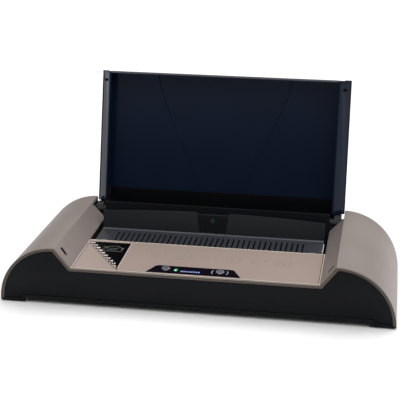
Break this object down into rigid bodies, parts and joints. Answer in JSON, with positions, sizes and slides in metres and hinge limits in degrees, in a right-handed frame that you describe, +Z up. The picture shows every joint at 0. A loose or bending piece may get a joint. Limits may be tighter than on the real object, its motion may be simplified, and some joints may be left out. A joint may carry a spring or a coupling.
{
  "type": "thermal binding machine",
  "caption": "Desktop binding machine with arched wings, sloping deck, heated slot, sliding clamp and a lid that swings up and leans back.",
  "frame": {"origin": "under the middle of the whole object with its lid open, on the surface that the rubber feet stand on", "axes": "+X to the right along the binding slot, +Y to the back, +Z up"},
  "size_m": [0.53, 0.2818, 0.2734],
  "materials": {
    "wing_satin": "satin",
    "deck_gloss": "gloss",
    "trim_metal": "satin",
    "front_black": "fine texture",
    "base_black": "fine texture",
    "slot_black": "satin",
    "plate_grey": "satin",
    "lid_smoke": "gloss",
    "lid_black": "satin",
    "arm_metal": "satin",
    "pin_steel": "turned",
    "rail_steel": "brushed",
    "shoe_plastic": "moulded",
    "foot_rubber": "matte",
    "overlay_film": "gloss",
    "gauge_film": "satin",
    "button_silver": "satin",
    "light_green": "clear",
    "light_blue": "clear",
    "heater_aluminium": "milled",
    "heater_mica": "sheet",
    "ceramic_white": "matt",
    "fuse_metal": "plated",
    "component_black": "moulded",
    "board_green": "solder mask",
    "transformer_tape": "wrapped tape",
    "ribbon_grey": "extruded",
    "lead_red": "extruded"
  },
  "bodies": {
    "base": {"base_tray": "base_black", "front_trim": "trim_metal", "front_panel": "front_black", "rear_panel": "base_black", "rear_top_cover": "base_black", "slot_rear_wall": "slot_black", "heater_plate": "heater_aluminium", "heater_element": "heater_mica", "thermal_fuse": "fuse_metal", "temperature_sensor": "component_black", "power_board": "board_green", "supply_transformer": "transformer_tape", "beeper": "component_black", "ribbon_cable": "ribbon_grey", "heater_lead": "lead_red", "power_inlet": "component_black", "rocker_housing": "component_black", "wing_cover_left": "wing_satin", "wing_cover_right": "wing_satin", "hinge_housing_left": "base_black", "hinge_housing_right": "base_black", "hinge_pin_left": "pin_steel", "hinge_pin_right": "pin_steel", "lid_stop_left": "foot_rubber", "lid_stop_right": "foot_rubber", "heater_support_left": "ceramic_white", "heater_support_right": "ceramic_white", "clamp_rail_left": "rail_steel", "clamp_rail_right": "rail_steel", "rubber_foot_1": "foot_rubber", "rubber_foot_2": "foot_rubber", "rubber_foot_3": "foot_rubber", "rubber_foot_4": "foot_rubber", "base_screw_1": "pin_steel", "base_screw_2": "pin_steel", "base_screw_3": "pin_steel", "base_screw_4": "pin_steel", "front_deck": "deck_gloss", "deck_frame": "base_black", "thickness_gauge": "gauge_film", "control_overlay": "overlay_film", "control_board": "board_green", "status_light": "light_green", "progress_light_bar": "light_blue", "power_tact_switch": "component_black", "start_tact_switch": "component_black"},
    "lid": {"lid_shell": "lid_smoke", "lid_hinge_bar": "lid_black", "lid_arm_left": "arm_metal", "lid_arm_right": "arm_metal", "lid_latch_left": "lid_black", "lid_latch_right": "lid_black"},
    "clamp": {"clamp_plate": "plate_grey", "clamp_wall": "slot_black", "clamp_grip": "slot_black", "clamp_shoe_left": "shoe_plastic", "clamp_shoe_right": "shoe_plastic"},
    "power_button": {"power_button": "button_silver"},
    "start_button": {"start_button": "button_silver"},
    "rocker": {"rocker_paddle": "component_black"}
  },
  "joints": [
    {"name": "lid_hinge", "type": "hinge", "parent": "base", "child": "lid", "pos_m": [0, 0.07435, 0.072], "axis": [1, 0, 0], "range_deg": [0, 104.6]},
    {"name": "clamp_slide", "type": "slide", "parent": "base", "child": "clamp", "axis": [0, 0.9992, 0.0411], "range_m": [-0.045, 0.015]},
    {"name": "power_button_press", "type": "slide", "parent": "base", "child": "power_button", "axis": [0, 0.0411, -0.9992], "range_m": [0, 0.001], "stiffness_N_per_m": 500, "springref_m": -0.0006},
    {"name": "start_button_press", "type": "slide", "parent": "base", "child": "start_button", "axis": [0, 0.0411, -0.9992], "range_m": [0, 0.001], "stiffness_N_per_m": 500, "springref_m": -0.0006},
    {"name": "rocker_tilt", "type": "hinge", "parent": "base", "child": "rocker", "pos_m": [0.0905, 0.09615, 0.0315], "axis": [1, 0, 0], "range_deg": [0, 18]}
  ]
}
